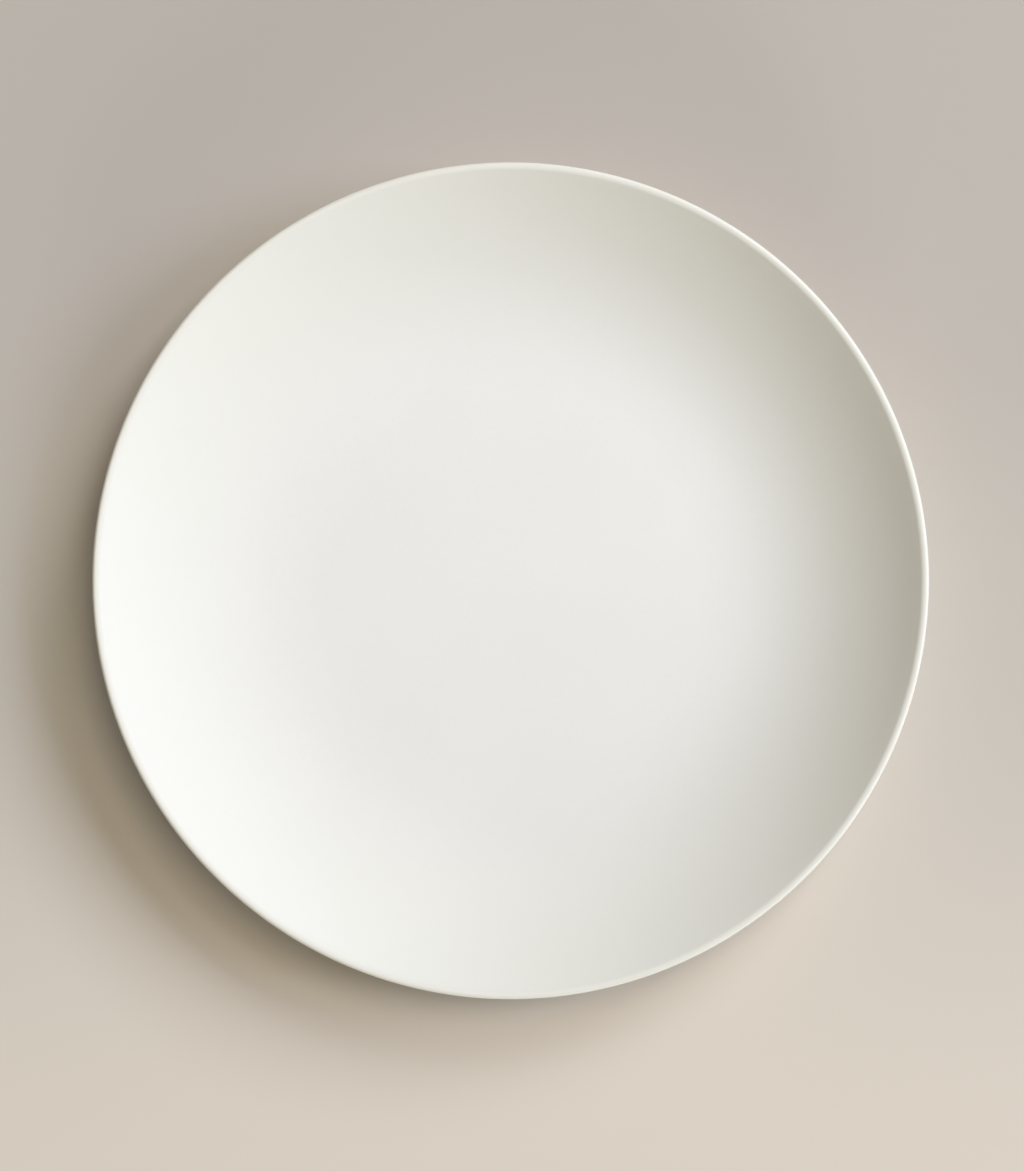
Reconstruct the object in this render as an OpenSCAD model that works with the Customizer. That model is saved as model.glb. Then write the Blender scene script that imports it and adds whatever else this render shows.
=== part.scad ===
// Coupe dinner plate: a flat well that sweeps up in one curve to a rounded lip, on a low foot ring.
// The fired clay is glazed all over but for the wiped tip of the foot ring.
// Sizes are in millimetres. The origin is on the table, in the middle of the plate.

/* [Plate] */
// Diameter over the lip
plate_d = 270; // [254:1:290]
// Height from the table to the top of the lip
plate_h = 28; // [25:0.5:32]
// Thickness of the floor, glaze included
floor_t = 5; // [4:0.1:6]

/* [Face] */
// Diameter of the flat well
well_d = 124; // [108:1:136]
// Width of the gentle shoulder round the well
shoulder_w = 15; // [10:0.5:20]
// Rise of the face across the shoulder
shoulder_rise = 0.45; // [0.2:0.05:0.6]

/* [Lip] */
// Radius of the lip where it turns over from the face
lip_in_r = 3; // [2.2:0.1:3.6]
// Radius of the lip's outer edge
lip_out_r = 1.5; // [1.2:0.1:1.8]

/* [Underside] */
// How far outside the well the outer curve leaves the plane of the base
spring_past_well = 6; // [4:0.5:8]

/* [Foot ring] */
// How far outside the well the foot ring reaches at the table, before its edges are rounded
foot_past_well = 16; // [14:0.5:20]
// Width of the foot ring at the table, before its edges are rounded
foot_w = 4.2; // [3.8:0.1:5.5]
// Height of the base above the table
foot_h = 3; // [2.8:0.1:4]
// Draft of the foot ring's two sides, in degrees
foot_draft = 15; // [8:1:20]
// Radius of the two edges that the ring stands on
foot_edge_r = 0.8; // [0.4:0.1:1]
// Radius of the fillet where the ring joins the outer curve
root_out_r = 2; // [1.2:0.1:2.2]
// Radius of the fillet where the ring joins the base
root_in_r = 1.6; // [1:0.1:1.7]

/* [Glaze] */
// Thickness of the glaze
glaze_t = 0.4; // [0.3:0.05:0.45]
// Height of the line on the foot ring where the glaze is wiped off
glaze_line_h = 1; // [0.95:0.05:1.1]

/* [Hidden] */

// Steps round the plate
turn_steps = 240;
// How far a chord may lie from its arc
curve_tol = 0.004;

plate_r = plate_d / 2;
well_r = well_d / 2;
foot_r = well_r + foot_past_well;
well_z = foot_h + floor_t;

// Slopes are angles from the horizontal. The shoulder starts level with the well.
shoulder_slope = 2 * atan(shoulder_rise / shoulder_w);
shoulder_r = shoulder_w / sin(shoulder_slope);
shoulder_c = [well_r, well_z + shoulder_r];
shoulder_end = on_arc(shoulder_c, shoulder_r, shoulder_slope - 90);

// The lip is two arcs, one above the other, that meet at the crest.
lip_in_c = [plate_r - lip_out_r, plate_h - lip_in_r];
lip_out_c = [plate_r - lip_out_r, plate_h - lip_out_r];

// The sweep of the wall leaves the shoulder smoothly and touches the lip's inner arc.
sweep_up = heading(shoulder_slope + 90);
sweep_span = shoulder_end - lip_in_c;
sweep_r = (sweep_span * sweep_span - lip_in_r ^ 2) / (2 * (lip_in_r - sweep_span * sweep_up));
sweep_c = shoulder_end + sweep_r * sweep_up;
wall_slope = slope_at(sweep_c, lip_in_c);

// The outer curve leaves the base plane smoothly and touches the lip's outer arc from inside.
spring = [well_r + spring_past_well, foot_h];
under_span = spring - lip_out_c;
under_r = (under_span * under_span - lip_out_r ^ 2) / (2 * (plate_h - foot_h - 2 * lip_out_r));
under_c = spring + [0, under_r];
under_slope = slope_at(under_c, lip_out_c);

// The outer root fillet touches the outer curve and the ring's outer side.
side_up = heading(90 - foot_draft);
root_line = [foot_r, 0] + root_out_r * heading(-foot_draft) - under_c;
root_rise = -root_line * side_up
    - sqrt((root_line * side_up) ^ 2 - root_line * root_line + (under_r + root_out_r) ^ 2);
root_out_c = under_c + root_line + root_rise * side_up;
root_slope = slope_at(under_c, root_out_c);

// The inner root fillet touches the base plane and the ring's inner side.
foot_in_r = foot_r - foot_w;
root_in_z = foot_h - root_in_r;
root_in_c = [foot_in_r - (root_in_r + root_in_z * sin(foot_draft)) / cos(foot_draft), root_in_z];

// The clay's sides lie under the glaze, and its two standing edges are rounded.
clay_inset = glaze_t / cos(foot_draft);
edge_inset = clay_inset + foot_edge_r * (1 - sin(foot_draft)) / cos(foot_draft);
edge_out_c = [foot_r - edge_inset, foot_edge_r];
edge_in_c = [foot_in_r + edge_inset, foot_edge_r];

// A step of length 1 at an angle from the radius
function heading(angle) = [cos(angle), sin(angle)];

function on_arc(centre, radius, angle) = centre + radius * heading(angle);

// Slope of an arc round the centre, where it passes under or touches a point
function slope_at(centre, point) = 90 + atan2(point.y - centre.y, point.x - centre.x);

// Points along an arc, without its last one, where the next stretch starts
function arc(centre, radius, from, to) =
    let (steps = ceil(abs(to - from) / (2 * acos(1 - curve_tol / radius))))
    [for (i = [0 : steps - 1]) on_arc(centre, radius, from + (to - from) * i / steps)];

function backwards(points) = [for (i = [len(points) - 1 : -1 : 0]) points[i]];

// Face, lip, outer curve and outer side of the ring, at a depth below the finished surface
function outer_side(depth) =
    let (line_h = glaze_line_h + glaze_t - depth) [
        [0, well_z - depth],
        each arc(shoulder_c, shoulder_r + depth, -90, shoulder_slope - 90),
        each arc(sweep_c, sweep_r + depth, shoulder_slope - 90, wall_slope - 90),
        each arc(lip_in_c, lip_in_r - depth, wall_slope + 90, 90),
        each arc(lip_out_c, lip_out_r - depth, 90, under_slope - 90),
        each arc(under_c, under_r - depth, under_slope - 90, root_slope - 90),
        each arc(root_out_c, root_out_r + depth, root_slope + 90, 180 - foot_draft),
        on_arc(root_out_c, root_out_r + depth, 180 - foot_draft),
        [foot_r + line_h * tan(foot_draft) - depth / cos(foot_draft), line_h]
    ];

// Inner side of the ring and the base, at a depth below the finished surface
function base_side(depth) =
    let (line_h = glaze_line_h + glaze_t - depth) [
        [foot_in_r - line_h * tan(foot_draft) + depth / cos(foot_draft), line_h],
        each arc(root_in_c, root_in_r + depth, foot_draft, 90),
        [root_in_c.x, foot_h + depth],
        [0, foot_h + depth]
    ];

// Bare tip of the ring, from its outer edge to its inner one
function foot_tip() = [
    each arc(edge_out_c, foot_edge_r, -foot_draft, -90),
    [edge_out_c.x, 0],
    each arc(edge_in_c, foot_edge_r, -90, foot_draft - 180),
    on_arc(edge_in_c, foot_edge_r, foot_draft - 180)
];

module turned(section) {
    rotate_extrude($fn = turn_steps) polygon(section);
}

module clay_body() {
    color("#D8CBB6") turned(concat(outer_side(glaze_t), foot_tip(), base_side(glaze_t)));
}

module face_glaze() {
    color("#EBEAE4") turned(concat(outer_side(0), backwards(outer_side(glaze_t))));
}

module base_glaze() {
    color("#E6E4DC") turned(concat(base_side(0), backwards(base_side(glaze_t))));
}

clay_body();
face_glaze();
base_glaze();
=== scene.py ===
"""A coupe dinner plate in satin white glaze, seen from straight above on a plain warm floor.

Sizes are in metres, in the plate's own frame: +Z up, with the origin on the table under the
middle of the plate. Colours are in linear light. The plate is three skins turned about Z: the
clay, the glaze over its face and outside, and the glaze inside its foot ring.

In the names of sizes, _r is a radius, _h or _z a height, _t a thickness, _w a width and _c the
centre of an arc.
"""

import math

import bpy
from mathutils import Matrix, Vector


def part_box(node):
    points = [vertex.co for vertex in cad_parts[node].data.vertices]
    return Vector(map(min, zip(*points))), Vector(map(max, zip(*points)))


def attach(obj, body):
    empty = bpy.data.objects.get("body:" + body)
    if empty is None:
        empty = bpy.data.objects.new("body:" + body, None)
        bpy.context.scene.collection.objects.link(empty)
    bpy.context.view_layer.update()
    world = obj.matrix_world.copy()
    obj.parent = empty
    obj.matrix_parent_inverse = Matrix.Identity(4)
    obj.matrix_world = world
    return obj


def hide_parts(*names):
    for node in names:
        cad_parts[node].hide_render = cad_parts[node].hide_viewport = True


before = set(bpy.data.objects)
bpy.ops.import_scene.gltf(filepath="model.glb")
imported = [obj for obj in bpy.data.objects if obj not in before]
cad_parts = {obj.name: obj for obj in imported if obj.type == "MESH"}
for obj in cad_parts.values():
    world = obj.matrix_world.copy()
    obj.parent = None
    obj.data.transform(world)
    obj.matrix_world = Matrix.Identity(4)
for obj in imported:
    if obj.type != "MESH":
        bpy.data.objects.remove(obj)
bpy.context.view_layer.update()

# Sizes that the solids give
face_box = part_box("face_glaze")
plate_r = face_box[1].x
plate_h = face_box[1].z
glaze_line_h = face_box[0].z
glaze_t = plate_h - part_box("clay_body")[1].z
foot_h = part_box("base_glaze")[1].z - glaze_t

# Sizes of the face, from the middle to the lip
floor_t = 0.005
well_r = 0.062
shoulder_w = 0.015
shoulder_rise = 0.00045

# Sizes of the lip: an arc towards the face, and two round the outer edge, where the solids have
# one of 1.5 mm. The lower one keeps the underside as the solids have it.
lip_in_r = 0.003
lip_out_r = 0.0011
lip_under_r = 0.0023

# Sizes of the underside and the foot ring
spring_past_well = 0.006
foot_past_well = 0.016
foot_w = 0.0042
foot_draft = math.radians(15)
foot_edge_r = 0.0008
root_out_r = 0.002
root_in_r = 0.0016
foot_r = well_r + foot_past_well
foot_in_r = foot_r - foot_w

# Waves that the sponge leaves in the glaze line: how many go round the foot, and how high each
# is. The lines outside and inside the ring have the same waves, begun at different angles.
LINE_WAVES = ((3, 0.00007), (8, 0.00005), (19, 0.00002))
OUTER_PHASE = 0.4
INNER_PHASE = 1.7

# Angles in a section, from the radius
DOWN = -math.pi / 2
UP = math.pi / 2

# Steps of the turned meshes: how many in a full turn, how wide an arc's may be, how long any may
# be, and how many round the edge of a coat
TURN_STEPS = 360
ARC_STEP = math.radians(6)
SPAN_STEP = 0.003
BEAD_STEPS = 8

# The picture: how much of its height the plate takes, where its middle lies on the plate, and the
# lens and the sensor in millimetres
PLATE_SHARE = 0.7146
PICTURE_MIDDLE = (0.00048, -0.00152)
LENS = 85
SENSOR = 36

# How far off the lamps hang, where the floor starts to fade, and where it ends
LAMP_AWAY = 5.0
FLOOR_FADE_FROM = 0.4
FLOOR_REACH = 2.0


def heading(angle):
    """A step of length 1 at an angle from the radius."""
    return Vector((math.cos(angle), math.sin(angle)))


def slope_at(centre, point):
    """Slope of an arc round the centre, where it passes under or touches a point."""
    return UP + math.atan2(point.y - centre.y, point.x - centre.x)


def arc(centre, radius, start, end):
    """Points along an arc, without its last one, where the next stretch starts."""
    turn = abs(end - start)
    steps = math.ceil(max(turn / ARC_STEP, turn * radius / SPAN_STEP))
    return [centre + radius * heading(start + (end - start) * i / steps) for i in range(steps)]


def span(start, end):
    """Points along a straight stretch, without its last one."""
    steps = math.ceil((end - start).length / SPAN_STEP)
    return [start.lerp(end, i / steps) for i in range(steps)]


class Section:
    """Half of the plate's outline, in radius and height.

    A depth is measured in from the surface of the glaze.
    """

    def __init__(self):
        self.well_z = foot_h + floor_t

        self.shoulder_slope = 2 * math.atan(shoulder_rise / shoulder_w)
        self.shoulder_r = shoulder_w / math.sin(self.shoulder_slope)
        self.shoulder_c = Vector((well_r, self.well_z + self.shoulder_r))
        shoulder_end = self.shoulder_c + self.shoulder_r * heading(DOWN + self.shoulder_slope)

        self.lip_in_c = Vector((plate_r - lip_out_r, plate_h - lip_in_r))
        self.lip_out_c = Vector((plate_r - lip_out_r, plate_h - lip_out_r))
        self.lip_under_c = Vector((plate_r - lip_under_r, plate_h - lip_out_r))

        # The sweep leaves the shoulder smoothly and touches the lip's inner arc
        inward = heading(UP + self.shoulder_slope)
        reach = shoulder_end - self.lip_in_c
        self.sweep_r = (reach.dot(reach) - lip_in_r**2) / (2 * (lip_in_r - reach.dot(inward)))
        self.sweep_c = shoulder_end + self.sweep_r * inward
        self.wall_slope = slope_at(self.sweep_c, self.lip_in_c)

        # The outer curve leaves the base smoothly and touches the lip's lower arc from inside
        spring = Vector((well_r + spring_past_well, foot_h))
        reach = spring - self.lip_under_c
        drop = -reach.y - lip_under_r
        self.under_r = (reach.dot(reach) - lip_under_r**2) / (2 * drop)
        self.under_c = spring + Vector((0, self.under_r))
        self.under_slope = slope_at(self.under_c, self.lip_under_c)

        # The outer root fillet touches the outer curve and the ring's outer side
        side = heading(UP - foot_draft)
        line = Vector((foot_r, 0)) + root_out_r * heading(-foot_draft) - self.under_c
        along = line.dot(side)
        rise = -along - math.sqrt(along**2 - line.dot(line) + (self.under_r + root_out_r) ** 2)
        self.root_out_c = self.under_c + line + rise * side
        self.root_slope = slope_at(self.under_c, self.root_out_c)

        # The inner root fillet touches the base and the ring's inner side
        root_z = foot_h - root_in_r
        root_x = foot_in_r - (root_in_r + root_z * math.sin(foot_draft)) / math.cos(foot_draft)
        self.root_in_c = Vector((root_x, root_z))

        # The clay's standing edges lie under the glaze on the ring's two sides
        inset = (glaze_t + foot_edge_r * (1 - math.sin(foot_draft))) / math.cos(foot_draft)
        self.edge_out_c = Vector((foot_r - inset, foot_edge_r))
        self.edge_in_c = Vector((foot_in_r + inset, foot_edge_r))

    def face(self, depth):
        """From the axis over the well, the shoulder and the wall to the crest of the lip."""
        floor_z = self.well_z - depth
        shoulder_end = DOWN + self.shoulder_slope
        wall_end = DOWN + self.wall_slope
        return [
            *span(Vector((0, floor_z)), Vector((well_r, floor_z))),
            *arc(self.shoulder_c, self.shoulder_r + depth, DOWN, shoulder_end),
            *arc(self.sweep_c, self.sweep_r + depth, shoulder_end, wall_end),
            *arc(self.lip_in_c, lip_in_r - depth, UP + self.wall_slope, UP),
        ]

    def outside(self, depth, line_h):
        """From the crest of the lip down the outer curve and the ring's side to the glaze line."""
        lip_end = DOWN + self.under_slope
        under_end = DOWN + self.root_slope
        side = math.pi - foot_draft
        side_top = self.root_out_c + (root_out_r + depth) * heading(side)
        line_r = foot_r + line_h * math.tan(foot_draft) - depth / math.cos(foot_draft)
        line = Vector((line_r, line_h))
        return [
            *arc(self.lip_out_c, lip_out_r - depth, UP, 0),
            *arc(self.lip_under_c, lip_under_r - depth, 0, lip_end),
            *arc(self.under_c, self.under_r - depth, lip_end, under_end),
            *arc(self.root_out_c, root_out_r + depth, UP + self.root_slope, side),
            *span(side_top, line),
            line,
        ]

    def base(self, depth, line_h):
        """From the glaze line up the ring's inner side and over the base to the axis."""
        base_z = foot_h + depth
        side_top = self.root_in_c + (root_in_r + depth) * heading(foot_draft)
        line_r = foot_in_r - line_h * math.tan(foot_draft) + depth / math.cos(foot_draft)
        middle = Vector((0, base_z))
        return [
            *span(Vector((line_r, line_h)), side_top),
            *arc(self.root_in_c, root_in_r + depth, foot_draft, UP),
            *span(Vector((self.root_in_c.x, base_z)), middle),
            middle,
        ]

    def foot_tip(self):
        """The bare tip of the ring, from its outer side to its inner one."""
        side = foot_draft - math.pi
        return [
            *arc(self.edge_out_c, foot_edge_r, -foot_draft, DOWN),
            *span(Vector((self.edge_out_c.x, 0)), Vector((self.edge_in_c.x, 0))),
            *arc(self.edge_in_c, foot_edge_r, DOWN, side),
            self.edge_in_c + foot_edge_r * heading(side),
        ]


section = Section()


def bead(finished, bare):
    """The rounded edge of a coat, between the end of its finished side and its end on the clay."""
    across = finished - bare
    middle = bare.lerp(finished, 0.5)
    half = across.length / 2
    start = math.atan2(across.y, across.x)
    turn = math.copysign(math.pi, -across.x)
    steps = range(1, BEAD_STEPS)
    return [middle + half * heading(start + turn * step / BEAD_STEPS) for step in steps]


def glaze_line(turn, phase):
    """Height of the glaze line at an angle round the foot."""
    waves = [high * (1 + math.sin(count * (turn + phase))) for count, high in LINE_WAVES]
    return glaze_line_h + sum(waves)


def face_glaze_outline(turn):
    """The coat over the face, the lip and the outside."""
    line_h = glaze_line(turn, OUTER_PHASE)
    finished = section.face(0) + section.outside(0, line_h + glaze_t)
    bare = section.face(glaze_t) + section.outside(glaze_t, line_h)
    return finished + bead(finished[-1], bare[-1]) + bare[::-1]


def base_glaze_outline(turn):
    """The coat inside the foot ring."""
    line_h = glaze_line(turn, INNER_PHASE)
    finished = section.base(0, line_h + glaze_t)
    bare = section.base(glaze_t, line_h)
    return bare[::-1] + bead(finished[0], bare[0])[::-1] + finished


def clay_outline(_):
    """The fired clay, the same all round. The glaze covers it but for the tip of the ring."""
    outside = section.outside(glaze_t, glaze_line_h)
    base = section.base(glaze_t, glaze_line_h)
    return section.face(glaze_t) + outside + section.foot_tip() + base


def add_object(name, data):
    """An object of this mesh, lamp or camera, in the scene."""
    added = bpy.data.objects.new(name, data)
    bpy.context.collection.objects.link(added)
    return added


def turned(name, outline_at):
    """A closed skin turned about Z.

    outline_at gives its outline at an angle, from the axis round to the axis again.
    """
    turns = [math.tau * step / TURN_STEPS for step in range(TURN_STEPS)]
    outlines = [outline_at(turn) for turn in turns]

    # Points 0 and 1 are the outline's two ends on the axis. Each turn adds a column of the others.
    poles = [Vector((0, 0, outlines[0][0].y)), Vector((0, 0, outlines[0][-1].y))]
    points = list(poles)
    for turn, outline in zip(turns, outlines):
        x, y = math.cos(turn), math.sin(turn)
        points += [Vector((point.x * x, point.x * y, point.y)) for point in outline[1:-1]]
    column = len(outlines[0]) - len(poles)

    faces = []
    for step in range(TURN_STEPS):
        here = len(poles) + step * column
        there = len(poles) + (step + 1) % TURN_STEPS * column
        faces.append((0, here, there))
        faces += [(here + i, here + i + 1, there + i + 1, there + i) for i in range(column - 1)]
        faces.append((1, there + column - 1, here + column - 1))

    mesh = bpy.data.meshes.new(name)
    mesh.from_pydata(points, [], faces)
    mesh.polygons.foreach_set("use_smooth", [True] * len(faces))
    return add_object(name, mesh)


class Wire:
    """An output of a node, on which Python's operators add Math nodes."""

    def __init__(self, finish, socket):
        self.finish = finish
        self.socket = socket

    def output(self, name):
        """Another output of the same node."""
        return Wire(self.finish, self.socket.node.outputs[name])

    def __add__(self, other):
        return self.finish.math("ADD", self, other)

    def __radd__(self, other):
        return self.finish.math("ADD", other, self)

    def __rsub__(self, other):
        return self.finish.math("SUBTRACT", other, self)

    def __mul__(self, other):
        return self.finish.math("MULTIPLY", self, other)

    def __rmul__(self, other):
        return self.finish.math("MULTIPLY", other, self)

    def __pow__(self, other):
        return self.finish.math("POWER", self, other)


class Finish:
    """The nodes of one material, or of the world."""

    def __init__(self, owner):
        owner.use_nodes = True
        self.owner = owner
        self.tree = owner.node_tree
        self.tree.nodes.clear()

    def node(self, kind, settings, sockets, out=0):
        """Add a node: its settings, then the values or wires of its sockets. Gives one output."""
        made = self.tree.nodes.new("ShaderNode" + kind)
        for name, value in settings.items():
            setattr(made, name, value)
        for name, value in sockets.items():
            if isinstance(value, Wire):
                self.tree.links.new(value.socket, made.inputs[name])
            else:
                made.inputs[name].default_value = value
        return Wire(self, made.outputs[out]) if made.outputs else None

    def math(self, operation, first, second=0.0):
        """A Math node on two values. Where it takes only one, the second doesn't count."""
        return self.node("Math", {"operation": operation}, {0: first, 1: second})

    def mix(self, share, first, second):
        """A colour between two. A Mix node takes them at sockets 6 and 7, and gives it at 2."""
        return self.node("Mix", {"data_type": "RGBA"}, {0: share, 6: first, 7: second}, out=2)

    def toned(self, colour, *layers):
        """A colour under layers. Each says where it lies, how strongly, and in what tone."""
        for where, strength, tone in layers:
            colour = self.mix(where * strength, colour, tone)
        return colour

    def place(self):
        """Where a point is on the piece, in metres."""
        return self.node("TexCoord", {}, {}, "Object")

    def axes(self, place):
        """A point's x, y and z."""
        split = self.node("SeparateXYZ", {}, {"Vector": place})
        return [split.output(axis) for axis in "XYZ"]

    def noise(self, place, size, detail=2):
        """Soft noise from 0 to 1 whose patches are about this wide."""
        sockets = {"Vector": place, "Scale": 1 / size, "Detail": detail, "Roughness": 0.5}
        return self.node("TexNoise", {}, sockets)

    def ease(self, value, low, high):
        """0 below the low value, 1 above the high one, and smooth between them."""
        sockets = {"Value": value, "From Min": low, "From Max": high}
        return self.node("MapRange", {"interpolation_type": "SMOOTHSTEP"}, sockets)

    def rings(self, radius, spacing):
        """Waves between -1 and 1 that run round the axis, this far apart."""
        return self.math("SINE", radius * (math.tau / spacing))

    def specks(self, place, spacing, radius, share):
        """1 in round specks of about this radius, in this share of the cells, and 0 elsewhere."""
        cell = self.node("TexVoronoi", {}, {"Vector": place, "Scale": 1 / spacing})
        lot = self.node("SeparateColor", {}, {"Color": cell.output("Color")})
        chosen = self.math("LESS_THAN", lot, share)
        edge = radius / spacing
        core = edge * 0.4
        return (1 - self.ease(cell, core, edge)) * chosen

    def bumped(self, height):
        """The normal of a surface raised by this height, in metres."""
        return self.node("Bump", {}, {"Height": height, "Strength": 1.0, "Distance": 1.0})

    def surface(self, sockets):
        """Close the material with its surface, of these sockets."""
        shader = self.node("BsdfPrincipled", {}, sockets)
        self.node("OutputMaterial", {}, {"Surface": shader})
        return self.owner


def from_axis(x, y):
    """Distance from the plate's axis."""
    return (x * x + y * y) ** 0.5


# Tones of the glaze
WALL_WHITE = (0.833, 0.829, 0.776, 1)
# Painted light: the whiter, more neutral tone that brightens the well
WELL_LIGHT_WHITE = (0.924, 0.930, 0.921, 1)
CLOUD_WHITE = (0.802, 0.798, 0.758, 1)
MOTTLE_WHITE = (0.790, 0.784, 0.744, 1)
# Cream of thin glaze on the crest, made brighter than the wall as a painted highlight
CREST_CREAM_HIGHLIGHT = (0.910, 0.900, 0.832, 1)
WIPED_CREAM = (0.790, 0.745, 0.655, 1)
SPECK_BROWN = (0.420, 0.360, 0.280, 1)

# Where they lie: how far past the well its painted light fades, how far in from the rim the cream
# and painted highlight of the crest start and are full, and how far above the glaze line the wiped
# edge ends
WELL_LIGHT_W = 0.066
CREST_FROM = 0.0026
CREST_FULL = 0.0015
WIPED_H = 0.0014

# Roughness of the glaze, and what its clouds and its fine silky grain add
SATIN = 0.46
CLOUD_DULLS = 0.06
SILK_DULLS = 0.07

# Heights of the glaze's relief, and the z of the normal below which its turning rings are full
RIPPLE_H = 12e-6
SILK_H = 1.6e-6
TURNING_H = 3e-6
FACING_DOWN = -0.35


def satin_glaze():
    """Satin-matt warm white glaze, whitest in the well and creamy over the lip.

    The whiter, more neutral tone of the well is painted light on the upward-facing middle, and
    the lip's extra brightness is a painted highlight over its cream.
    """
    finish = Finish(bpy.data.materials.new("satin_glaze"))
    place = finish.place()
    x, y, z = finish.axes(place)
    radius = from_axis(x, y)
    facing_up = finish.axes(place.output("Normal"))[2]

    cloud = finish.noise(place, size=0.045)
    mottle = finish.noise(place, size=0.0016, detail=3)
    silk = finish.noise(place, size=0.0006)
    # Painted light: the well is whiter and more neutral than the wall, to brighten the middle
    well_light = 1 - finish.ease(radius, well_r, well_r + WELL_LIGHT_W)
    # Painted highlight: the crest's cream is brighter than the wall, lighting up the lip
    crest = finish.ease(radius, plate_r - CREST_FROM, plate_r - CREST_FULL)
    wiped = 1 - finish.ease(z, glaze_line_h, glaze_line_h + WIPED_H)
    speck = finish.specks(place, spacing=0.013, radius=0.0002, share=0.12)
    colour = finish.toned(
        finish.mix(well_light, WALL_WHITE, WELL_LIGHT_WHITE),
        (cloud, 0.3, CLOUD_WHITE),
        (mottle, 0.2, MOTTLE_WHITE),
        (crest, 0.7, CREST_CREAM_HIGHLIGHT),
        (wiped, 0.45, WIPED_CREAM),
        (speck, 0.16, SPECK_BROWN),
    )

    # Unevenness of the coat, and the faint rings that the turning tool left underneath
    ripple = finish.noise(place, size=0.012) * RIPPLE_H + silk * SILK_H
    below = 1 - finish.ease(facing_up, FACING_DOWN, 0.0)
    turning = finish.rings(radius, spacing=0.0016) * finish.noise(place, size=0.02)
    sockets = {
        "Base Color": colour,
        "Roughness": SATIN + CLOUD_DULLS * cloud + SILK_DULLS * silk,
        "IOR": 1.5,
        "Normal": finish.bumped(ripple + turning * below * TURNING_H),
    }
    return finish.surface(sockets)


# Tones of the clay
CLAY_BUFF = (0.640, 0.545, 0.415, 1)
CLAY_TAN = (0.560, 0.465, 0.345, 1)
GRAIN_PALE = (0.760, 0.680, 0.560, 1)
IRON_BROWN = (0.20, 0.125, 0.075, 1)

# Roughness of the clay, what the polish of the standing edge takes off, and what the grain adds
MATT = 0.88
POLISH_SMOOTHS = 0.16
GRAIN_DULLS = 0.08

# Heights of the clay's relief, and the height above the table where its polish ends
GRAIN_H = 30e-6
SANDING_H = 2e-6
POLISH_H = 0.0003


def bare_clay():
    """Fired stoneware, sanded smooth where the plate stands."""
    finish = Finish(bpy.data.materials.new("bare_clay"))
    place = finish.place()
    x, y, z = finish.axes(place)

    cloud = finish.noise(place, size=0.009)
    grain = finish.noise(place, size=0.0003, detail=3)
    iron = finish.specks(place, spacing=0.0016, radius=0.00013, share=0.3)
    colour = finish.toned(
        finish.mix(cloud, CLAY_BUFF, CLAY_TAN),
        (grain, 0.4, GRAIN_PALE),
        (iron, 0.7, IRON_BROWN),
    )

    polish = 1 - finish.ease(z, 0.0, POLISH_H)
    sanding = finish.rings(from_axis(x, y), spacing=0.00035) * SANDING_H * polish
    sockets = {
        "Base Color": colour,
        "Roughness": MATT - POLISH_SMOOTHS * polish + GRAIN_DULLS * grain,
        "IOR": 1.45,
        "Normal": finish.bumped(grain * GRAIN_H + sanding),
    }
    return finish.surface(sockets)


# Tones of the floor under the plate and at the two ends of the picture, and the y between which
# each end blends in
FLOOR_MIDDLE = (0.610, 0.571, 0.524, 1)
FLOOR_NEAR = (0.791, 0.719, 0.636, 1)
FLOOR_FAR = (0.569, 0.523, 0.480, 1)
NEAR_BLEND = (-0.20, 0.0)
FAR_BLEND = (-0.017, 0.086)


def plain_floor():
    """Matt warm floor, paler at the viewer's end. Far off it fades into the backdrop."""
    finish = Finish(bpy.data.materials.new("plain_floor"))
    x, y, _ = finish.axes(finish.place())
    near = 1 - finish.ease(y, *NEAR_BLEND)
    far = finish.ease(y, *FAR_BLEND)
    colour = finish.mix(near, FLOOR_MIDDLE, FLOOR_NEAR)
    colour = finish.mix(far, colour, FLOOR_FAR)
    shown = 1 - finish.ease(from_axis(x, y), FLOOR_FADE_FROM, FLOOR_REACH)
    sockets = {"Base Color": colour, "Roughness": 0.9, "IOR": 1.3, "Alpha": shown}
    return finish.surface(sockets)


def lay_floor():
    """The floor is a square in the plane that the plate stands on."""
    corners = ((-1, -1), (1, -1), (1, 1), (-1, 1))
    points = [(x * FLOOR_REACH, y * FLOOR_REACH, 0) for x, y in corners]
    mesh = bpy.data.meshes.new("floor")
    mesh.from_pydata(points, [], [(0, 1, 2, 3)])
    mesh.materials.append(plain_floor())
    floor = add_object("floor", mesh)


def make_plate():
    """The three pieces of the plate, all on its one body."""
    glaze = satin_glaze()
    parts = (
        ("clay_body", clay_outline, bare_clay(), "bare_clay"),
        ("face_glaze", face_glaze_outline, glaze, "satin_glaze"),
        ("base_glaze", base_glaze_outline, glaze, "satin_glaze"),
    )
    for node, outline_at, material, slot in parts:
        piece = turned("turned_" + node, outline_at)
        piece.data.materials.append(material)
        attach(piece, "root")
        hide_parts(node)


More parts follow.
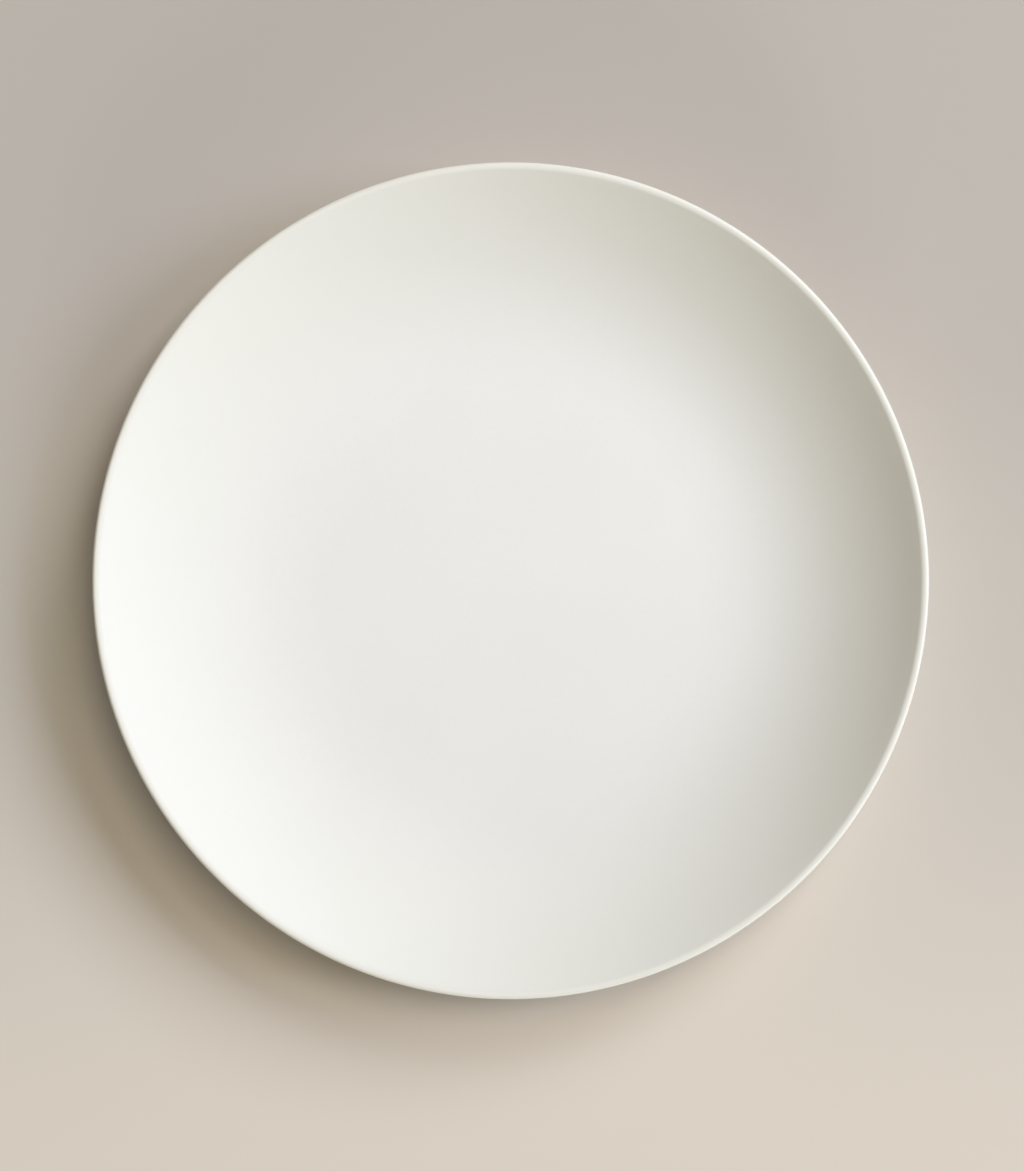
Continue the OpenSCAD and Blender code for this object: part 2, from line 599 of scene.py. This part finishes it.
def softbox(name, azimuth, elevation, size, power, colour):
    """A square lamp facing the plate from an azimuth and elevation, hidden from the camera."""
    lamp = bpy.data.lights.new(name, "AREA")
    lamp.shape = "SQUARE"
    lamp.size = size
    lamp.energy = power
    lamp.color = colour
    turn, lift = math.radians(azimuth), math.radians(elevation)
    level = Vector((math.cos(turn), math.sin(turn), 0))
    direction = math.cos(lift) * level + math.sin(lift) * Vector((0, 0, 1))
    box = add_object(name, lamp)
    box.location = direction * LAMP_AWAY
    box.rotation_mode = "QUATERNION"
    box.rotation_quaternion = direction.to_track_quat("Z", "Y")
    box.visible_camera = False


def hang_lamps():
    """Two broad lamps on the right, a warmer one above them, and a low one at the viewer's end."""
    softbox("window_near", azimuth=8, elevation=36, size=2.2, power=85, colour=(0.895, 1.0, 1.27))
    softbox("window_far", azimuth=50, elevation=37, size=2.2, power=126, colour=(0.94, 1.0, 1.07))
    softbox("ceiling", azimuth=46, elevation=72, size=2.4, power=83, colour=(1.145, 1.0, 0.76))
    softbox("low_front", azimuth=-80, elevation=12, size=1.8, power=100, colour=(1.0, 1.0, 0.92))


# Tones of the faint light from all round, and of the backdrop beyond the floor
FILL_TONE = (1.0, 0.93, 0.70, 1)
BACKDROP_TONE = (0.55, 0.51, 0.465, 1)


def set_backdrop():
    """The camera and reflections see a plain backdrop, and all else gets a faint warm fill."""
    studio = Finish(bpy.data.worlds.new("studio"))
    fill = studio.node("Background", {}, {"Color": FILL_TONE, "Strength": 0.02})
    backdrop = studio.node("Background", {}, {"Color": BACKDROP_TONE, "Strength": 1.0})
    rays = studio.node("LightPath", {}, {}, "Is Camera Ray")
    seen = studio.math("MAXIMUM", rays, rays.output("Is Glossy Ray"))
    around = studio.node("MixShader", {}, {0: seen, 1: fill, 2: backdrop})
    studio.node("OutputWorld", {}, {"Surface": around})
    bpy.context.scene.world = studio.owner


def place_camera():
    """Straight above, so far up that the plate takes its share of the picture's height."""
    camera = bpy.data.cameras.new("camera")
    camera.lens = LENS
    camera.sensor_width = SENSOR
    rim_z = plate_h - lip_out_r
    height = rim_z + 2 * plate_r / PLATE_SHARE * LENS / SENSOR
    viewer = add_object("camera", camera)
    viewer.location = (*PICTURE_MIDDLE, height)
    bpy.context.scene.camera = viewer


lay_floor()
make_plate()
hang_lamps()
set_backdrop()
place_camera()
bpy.context.scene.view_settings.view_transform = "Standard"
